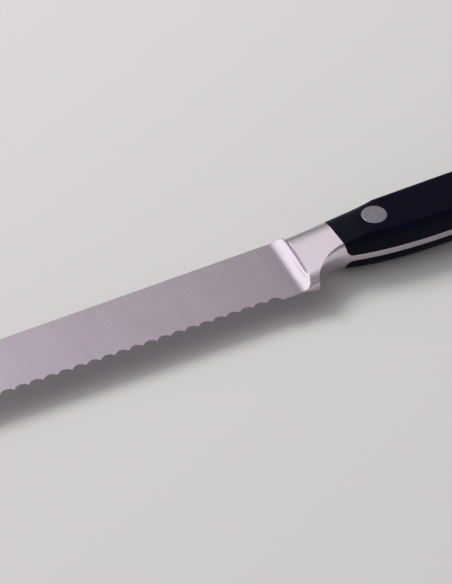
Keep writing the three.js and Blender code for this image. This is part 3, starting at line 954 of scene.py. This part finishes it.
def turned_piece(name, shank, centre, side, material, node):
    """A rivet half: its head follows the handle's side, its shank has (radius, height) rings."""
    rings = []
    for radius, drop in head_profile():
        x, y = circle(centre, radius)
        rings.append(np.stack([x, y, (envelope_z(x, y) - drop) * side], -1))
    for radius, height in shank:
        x, y = circle(centre, radius)
        rings.append(np.stack([x, y, np.full(ROUND_SEGMENTS, height * side)], -1))
    faces = ring_faces(len(rings), ROUND_SEGMENTS)
    return mesh_piece(name, np.concatenate(rings), faces, material, [node])


def make_rivet(index, material):
    """A socket from the left and a pin from the right that is pressed into it."""
    centre = rivet_centre(index)
    bore = PIN_RADIUS + PIN_CLEARANCE
    socket_end = END_CLEARANCE - HEAD_SEAT
    pin_end = 2 * END_CLEARANCE - HEAD_SEAT
    socket = [
        (HEAD_RADIUS, HEAD_SEAT),
        (SHANK_RADIUS, HEAD_SEAT),
        (SHANK_RADIUS, socket_end),
        (bore, socket_end),
        (bore, -socket_end),
        (0.0, -socket_end),
    ]
    pin = [
        (HEAD_RADIUS, HEAD_SEAT),
        (PIN_RADIUS, HEAD_SEAT),
        (PIN_RADIUS, pin_end),
        (0.0, pin_end),
    ]
    number = index + 1
    turned_piece(f"rivet_{number}_left", socket, centre, LEFT, material, f"rivet_{number}_socket")
    turned_piece(f"rivet_{number}_right", pin, centre, RIGHT, material, f"rivet_{number}_pin")


def drill(piece, centre, radius, start, end):
    """Takes a round hole between two heights out of a piece."""
    work = bmesh.new()
    bmesh.ops.create_cone(
        work,
        cap_ends=True,
        segments=ROUND_SEGMENTS,
        radius1=radius * MM,
        radius2=radius * MM,
        depth=abs(end - start) * MM,
        matrix=Matrix.Translation(Vector(in_frame((*centre, (start + end) / 2)))),
    )
    mesh = bpy.data.meshes.new("drill")
    work.to_mesh(mesh)
    work.free()
    tool = bpy.data.objects.new("drill", mesh)
    bpy.context.scene.collection.objects.link(tool)
    cut = piece.modifiers.new("hole", "BOOLEAN")
    cut.operation = "DIFFERENCE"
    cut.solver = "EXACT"
    cut.object = tool
    bpy.context.view_layer.objects.active = piece
    bpy.ops.object.modifier_apply(modifier=cut.name)
    bpy.data.objects.remove(tool)
    bpy.data.meshes.remove(mesh)


def drill_scale(piece, centre, side):
    """The shank's hole and the head's counterbore."""
    outside = side * HANDLE_THICKNESS
    drill(piece, centre, SHANK_RADIUS + SHANK_CLEARANCE, 0, outside)
    drill(piece, centre, HEAD_RADIUS + HEAD_CLEARANCE, side * HEAD_SEAT, outside)


# Stage: camera, floor and light

def make_camera():
    lens = bpy.data.cameras.new("camera")
    lens.sensor_fit = "VERTICAL"
    lens.sensor_height = SENSOR
    lens.lens = FOCAL_PIXELS / PHOTO_HEIGHT * SENSOR
    lens.clip_start = CLIP_START
    back = Vector((
        math.sin(CAMERA_AZIMUTH) * math.cos(CAMERA_ELEVATION),
        -math.cos(CAMERA_AZIMUTH) * math.cos(CAMERA_ELEVATION),
        math.sin(CAMERA_ELEVATION),
    ))
    right = Vector((math.cos(CAMERA_AZIMUTH), math.sin(CAMERA_AZIMUTH), 0))
    up = back.cross(right)
    rolled_right = right * math.cos(CAMERA_ROLL) + up * math.sin(CAMERA_ROLL)
    rolled_up = up * math.cos(CAMERA_ROLL) - right * math.sin(CAMERA_ROLL)
    axes = Matrix((rolled_right, rolled_up, back)).transposed().to_4x4()
    position = Vector(in_frame(CAMERA_TARGET)) + back * CAMERA_DISTANCE * MM
    camera = bpy.data.objects.new("camera", lens)
    camera.matrix_world = Matrix.Translation(position) @ axes
    bpy.context.scene.collection.objects.link(camera)
    bpy.context.scene.camera = camera


def make_floor():
    mesh = bpy.data.meshes.new("floor")
    corners = [(x * FLOOR_HALF, y * FLOOR_HALF, 0) for x, y in ((-1, -1), (1, -1), (1, 1), (-1, 1))]
    mesh.from_pydata(corners, [], [(0, 1, 2, 3)])
    material, _, shader = principled("pale_floor")
    shader.inputs["Base Color"].default_value = FLOOR_COLOUR
    shader.inputs["Roughness"].default_value = FLOOR_ROUGHNESS
    mesh.materials.append(material)
    floor = bpy.data.objects.new("floor", mesh)
    bpy.context.scene.collection.objects.link(floor)


def direction(azimuth, elevation):
    """Unit vector from the knife. Azimuth 0 is behind it, and positive is to the right."""
    return Vector((
        math.sin(azimuth) * math.cos(elevation),
        math.cos(azimuth) * math.cos(elevation),
        math.sin(elevation),
    ))


def make_world():
    """A wide soft glow from behind on the left that ends overhead, and a faint low one in front."""
    world = bpy.data.worlds.new("studio")
    world.use_nodes = True
    tree = world.node_tree
    where = tree.nodes.new("ShaderNodeTexCoord").outputs["Generated"]
    facing = tree.nodes.new("ShaderNodeVectorMath")
    facing.operation = "DOT_PRODUCT"
    facing.inputs[1].default_value = direction(GLOW_AZIMUTH, GLOW_ELEVATION)
    tree.links.new(where, facing.inputs[0])
    parts = tree.nodes.new("ShaderNodeSeparateXYZ")
    tree.links.new(where, parts.inputs[0])
    near = remap(tree, facing.outputs["Value"], 0, 1, GLOW_EDGE, GLOW_CORE)
    falloff = calculated(tree, "POWER", near, GLOW_FALLOFF)
    below_top = remap(tree, parts.outputs["Z"], 1, 0, GLOW_TOP, GLOW_TOP_END)
    glow = calculated(tree, "MULTIPLY", falloff, below_top)
    behind = remap(tree, glow, DIM, GLOW, 0, 1)
    in_front = remap(tree, parts.outputs["Y"], FRONT, 0, FRONT_END, FRONT_START)
    near_floor = remap(tree, parts.outputs["Z"], 1, 0, FRONT_LOW, FRONT_HIGH)
    strength = calculated(tree, "MULTIPLY_ADD", in_front, near_floor, behind)
    background = tree.nodes["Background"]
    background.inputs["Color"].default_value = GLOW_COLOUR
    tree.links.new(strength, background.inputs["Strength"])
    bpy.context.scene.world = world


def make_fill():
    """A soft box that lights the floor and isn't mirrored in the steel."""
    lamp = bpy.data.lights.new("fill", "AREA")
    lamp.shape = "SQUARE"
    lamp.size = FILL_SIZE
    lamp.energy = FILL_POWER
    lamp.color = FILL_COLOUR
    toward = direction(FILL_AZIMUTH, FILL_ELEVATION)
    holder = bpy.data.objects.new("fill", lamp)
    holder.location = toward * FILL_DISTANCE
    holder.rotation_euler = toward.to_track_quat("Z", "Y").to_euler()
    holder.visible_glossy = False
    bpy.context.scene.collection.objects.link(holder)


make_camera()
make_floor()
make_world()
make_fill()
steel = steel_material()
plastic = scale_material()
rivet_steel = rivet_material()
forging = make_forging(steel)
left_scale = make_scale("left_handle_scale", LEFT, "left_scale", plastic)
right_scale = make_scale("right_handle_scale", RIGHT, "right_scale", plastic)
for rivet_index in range(RIVET_COUNT):
    make_rivet(rivet_index, rivet_steel)
    hole_centre = rivet_centre(rivet_index)
    drill(forging, hole_centre, SHANK_RADIUS + TANG_HOLE_CLEARANCE, -HANDLE_HALF, HANDLE_HALF)
    drill_scale(left_scale, hole_centre, LEFT)
    drill_scale(right_scale, hole_centre, RIGHT)

bpy.context.scene.view_settings.view_transform = "Standard"
